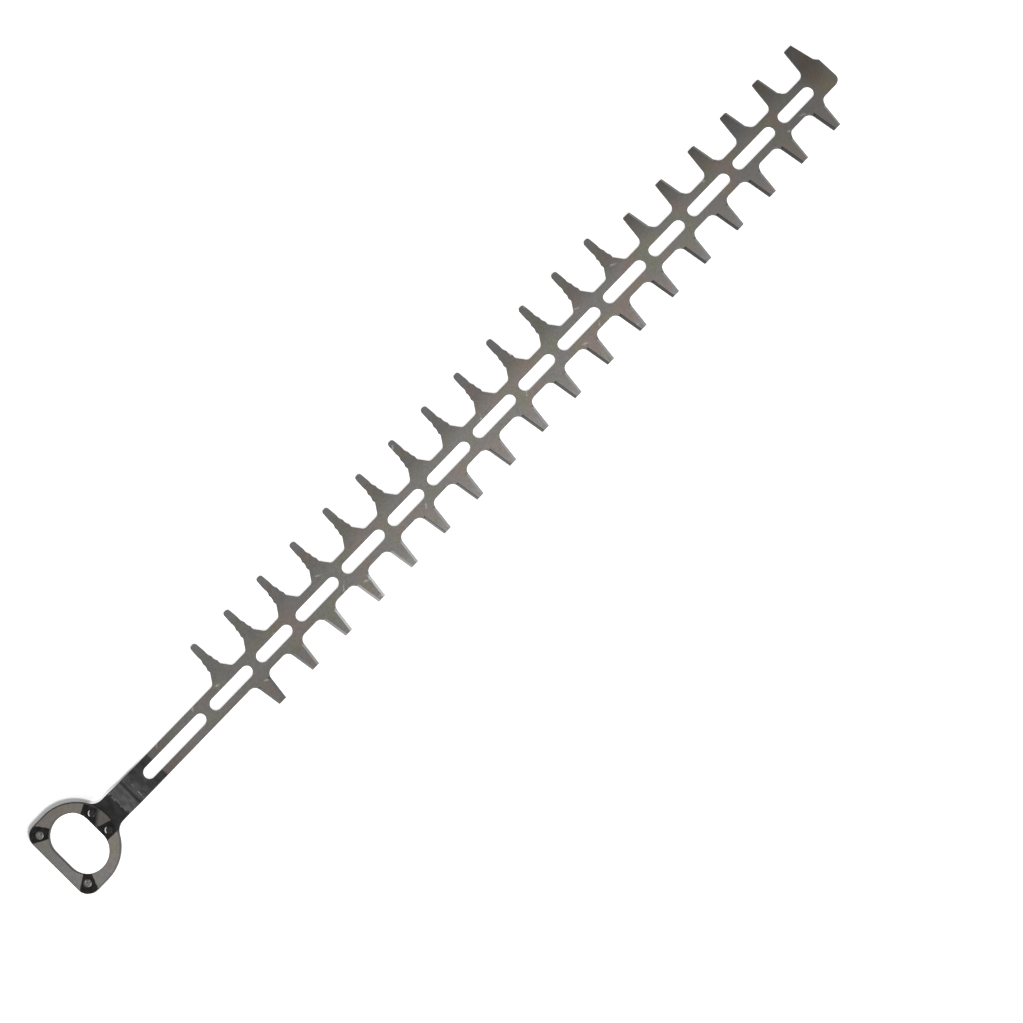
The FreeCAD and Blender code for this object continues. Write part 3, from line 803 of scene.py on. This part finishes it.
# %% [markdown]
# A spot welder squeezes the two sheets between round tips and melts a spot of them together. It leaves a
# shallow dimple, which the solids have, and in it a lump of rough metal. Bump alone would leave the dimple's
# floor flat, so each lump is a mesh. It starts as a flat disc, is extruded to a thin coin, its top is inset
# in rings, and the rings are lifted unevenly by noise.

# %% Weld lump
LUMP_RADIUS = 2.5
LUMP_SIDES = 28
LUMP_RINGS = 4
LUMP_BODY = 0.06
LUMP_CROWN = 0.13
LUMP_FLAT_RIM = 0.95
LUMP_NOISE_SCALE = 0.9


def weld_lump(name, spot, level, facing):
    """A rough coin of metal in a dimple's floor. It faces up (1) or down (-1)."""
    bm = bmesh.new()
    bmesh.ops.create_circle(bm, cap_ends=True, segments=LUMP_SIDES, radius=LUMP_RADIUS * MM)
    raised = bmesh.ops.extrude_face_region(bm, geom=bm.faces[:])["geom"]
    bmesh.ops.translate(bm, verts=[item for item in raised if isinstance(item, bmesh.types.BMVert)],
                        vec=(0.0, 0.0, LUMP_BODY * MM))
    top = next(item for item in raised if isinstance(item, bmesh.types.BMFace))
    ring_width = LUMP_RADIUS * MM / (LUMP_RINGS + 1)
    for _ in range(LUMP_RINGS):
        bmesh.ops.inset_region(bm, faces=[top], thickness=ring_width, use_even_offset=True)
    for vert in bm.verts:
        reach = math.hypot(vert.co.x, vert.co.y) / (LUMP_RADIUS * MM)
        if vert.co.z > 0 and reach < LUMP_FLAT_RIM:
            place = Vector((vert.co.x, vert.co.y, 0.0)) / MM + Vector((*spot, 0.0))
            vert.co.z += LUMP_CROWN * MM * (0.5 + 0.5 * noise.noise(place * LUMP_NOISE_SCALE))
    bmesh.ops.recalc_face_normals(bm, faces=bm.faces)
    if facing < 0:
        bmesh.ops.rotate(bm, verts=bm.verts, cent=(0, 0, 0), matrix=Matrix.Rotation(math.pi, 3, "X"))
    bmesh.ops.translate(bm, verts=bm.verts, vec=(spot[0] * MM, spot[1] * MM, level * MM))
    mesh = bpy.data.meshes.new(name)
    bm.to_mesh(mesh)
    bm.free()
    piece = bpy.data.objects.new(name, mesh)
    bpy.context.scene.collection.objects.link(piece)
    return piece


print("weld lump ready:", LUMP_RADIUS * 2, "mm across")

# %% [markdown]
# The lumps in the corners are crumbly and grey. Those at the neck are burnt nearly black, and a painted
# highlight, a light crescent, lies on each, on the side that faces the serrated teeth and the cam hole.

# %% Weld metal
CRUMB_SCALE = 1.1
CRUMB_EDGE = (0.42, 0.58)
CRUMB_DARK = grey(0.05)
CRUMB_LIGHT = grey(0.13, 0.01)
CRUMB_ROUGHNESS = ((0.3, 0.7), 0.6, 0.4)
NECK_LUMP_PAINT = (grey(0.012), 0.92)
CRESCENT_PAINTED_HIGHLIGHT = grey(0.5)
CRESCENT_RING = (1.7, 2.0)
CRESCENT_SIDE = (1.6, 2.4)

weld_metal, tree, shader, position = start_material("weld_metal")
x, y = split(tree, position)[:2]
crumbs = noise_node(tree, scaled(tree, position, CRUMB_SCALE), detail=3.0, roughness=0.65)
colour = painted(tree, CRUMB_DARK, smooth_step(tree, crumbs, CRUMB_EDGE), CRUMB_LIGHT)
at_neck = math_node(tree, "GREATER_THAN", x, 0.0)
colour = painted(tree, colour, at_neck, *NECK_LUMP_PAINT)
weld_y = math_node(tree, "MULTIPLY", math_node(tree, "SIGN", y), NECK_WELD[1])
off_x = math_node(tree, "SUBTRACT", x, NECK_WELD[0])
off_y = math_node(tree, "SUBTRACT", y, weld_y)
# painted highlight: a light crescent on each neck lump
painted_crescent = both(tree, at_neck,
                smooth_step(tree, flat_distance(tree, off_x, off_y), CRESCENT_RING),
                smooth_step(tree, math_node(tree, "SUBTRACT", off_y, off_x), CRESCENT_SIDE))
colour = painted(tree, colour, painted_crescent, CRESCENT_PAINTED_HIGHLIGHT)
feed(tree, shader.inputs["Base Color"], colour)
feed(tree, shader.inputs["Roughness"], smooth_step(tree, crumbs, *CRUMB_ROUGHNESS))
print("material:", weld_metal.name, len(tree.nodes), "nodes")

# %% [markdown]
# Each weld shows on both sides of the ring. A lump sits on the floor of its dimple, in the plate above and in
# the ring's end below.

# %% Place the weld lumps
WELD_DEPTH = 0.25

ring_under = ring_low.z - SHEET_THICKNESS
welds = {"serrated_corner": CORNER_WELD, "plain_corner": (CORNER_WELD[0], -CORNER_WELD[1]),
         "serrated_neck": NECK_WELD, "plain_neck": (NECK_WELD[0], -NECK_WELD[1])}
for place_name, spot in welds.items():
    for side, level, facing, slot in (("top", ring_high.z - WELD_DEPTH, 1, "plate_steel"),
                                      ("under", ring_under + WELD_DEPTH, -1, "blade_steel")):
        lump = weld_lump(f"weld_{place_name}_{side}", spot, level, facing)
        lump.data.materials.append(weld_metal)
        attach(lump, "root")
        print(lump.name, len(lump.data.polygons), "faces")

# %% [markdown]
# A plain pale table, six metres across, so that its edges stay out of the camera's picture. It lies just
# below the blade, so that the two don't share a plane.

# %% Table
BLADE_MIDDLE = (0.34, 0.0, 0.0)
TABLE_HALF = 3.0
TABLE_LEVEL = -0.0002

bm = bmesh.new()
bmesh.ops.create_grid(bm, x_segments=1, y_segments=1, size=TABLE_HALF)
bmesh.ops.translate(bm, verts=bm.verts, vec=(*BLADE_MIDDLE[:2], TABLE_LEVEL))
table_mesh = bpy.data.meshes.new("table")
bm.to_mesh(table_mesh)
bm.free()
table = bpy.data.objects.new("table", table_mesh)
bpy.context.scene.collection.objects.link(table)
print("table", TABLE_HALF * 2, "m across")

# %% [markdown]
# The table has an emission of its own, which is painted light. It fills in the shadows in the slots and gaps,
# is weak close beside the ring and the neck on the serrated side, where their shadow is to be seen, and is
# strongest inside the cam hole.

# %% Table, painted light
TABLE_WHITE = (0.6, 0.6, 0.597, 1.0)
TABLE_ROUGHNESS = 0.8
TABLE_PAINTED_LIGHT = (0.6, 0.06)
PAINTED_LIGHT_WHITE = (1.0, 1.0, 1.0)
HOLE_PAINTED_LIGHT = 1.0
SHADOW_LINE = ((-25.0, 24.0), (70.0, 4.0))
SHADOW_REACH = (7.5, 4.0)
NECK_HALF = 9.4
NECK_SHADOW_END = (75.0, 45.0)
HOLE_RADIUS = 14.2
HOLE_STRAIGHT_HALF = 7.0
HOLE_PAINTED_LIGHT_EDGE = (HOLE_RADIUS + 1.5, HOLE_RADIUS + 0.5)

table_white, tree, shader, position = start_material("table_white", metallic=0.0)
x, y = split(tree, position)[:2]
on_shadow_side = border(tree, position, *SHADOW_LINE, ragged=0.0, softness=2.0)
near_ring = smooth_step(tree, from_ring_middle(tree, x, y), [ring_radius + reach for reach in SHADOW_REACH])
near_neck = both(tree, smooth_step(tree, y, [NECK_HALF + reach for reach in SHADOW_REACH]),
                 smooth_step(tree, x, NECK_SHADOW_END))
in_shadow = both(tree, on_shadow_side, either(tree, near_ring, near_neck))
past_straight = math_node(tree, "SUBTRACT", math_node(tree, "ABSOLUTE", y), HOLE_STRAIGHT_HALF)
past_straight = math_node(tree, "MAXIMUM", past_straight, 0.0)
in_hole = smooth_step(tree, flat_distance(tree, x, past_straight), HOLE_PAINTED_LIGHT_EDGE)
# painted light: the table's emission, weak where the shadow beside the ring shows, full in the cam hole
painted_light = either(tree, smooth_step(tree, in_shadow, (0.0, 1.0), *TABLE_PAINTED_LIGHT),
              math_node(tree, "MULTIPLY", in_hole, HOLE_PAINTED_LIGHT))
shader.inputs["Base Color"].default_value = TABLE_WHITE
shader.inputs["Roughness"].default_value = TABLE_ROUGHNESS
shader.inputs["Emission Strength"].default_value = 1.0
feed(tree, shader.inputs["Emission Color"], scaled(tree, PAINTED_LIGHT_WHITE, painted_light))
table_mesh.materials.append(table_white)
print("material:", table_white.name, len(tree.nodes), "nodes")

# %% [markdown]
# Soft studio light: an even white surround, and one soft box high on the plain side. It throws a faint shadow
# to the serrated side, which shows at the raised ring, and it makes the steel a little brighter on its own
# side.

# %% Light
SURROUND_WHITE = (1.0, 1.0, 1.0, 1.0)
SURROUND_STRENGTH = 0.75
SOFT_BOX_PLACE = (0.0, -0.88, 2.0)
SOFT_BOX_SIZE = 0.25
SOFT_BOX_POWER = 48.0

world = bpy.data.worlds.new("studio")
world.use_nodes = True
surround = world.node_tree.nodes["Background"]
surround.inputs["Color"].default_value = SURROUND_WHITE
surround.inputs["Strength"].default_value = SURROUND_STRENGTH
bpy.context.scene.world = world
bpy.context.scene.view_settings.view_transform = "Standard"

box_light = bpy.data.lights.new("plain_side_box", "AREA")
box_light.shape = "SQUARE"
box_light.size = SOFT_BOX_SIZE
box_light.energy = SOFT_BOX_POWER
soft_box = bpy.data.objects.new("plain_side_box", box_light)
soft_box.location = SOFT_BOX_PLACE
soft_box.rotation_euler = (Vector(BLADE_MIDDLE) - Vector(SOFT_BOX_PLACE)).to_track_quat("-Z", "Y").to_euler()
bpy.context.scene.collection.objects.link(soft_box)
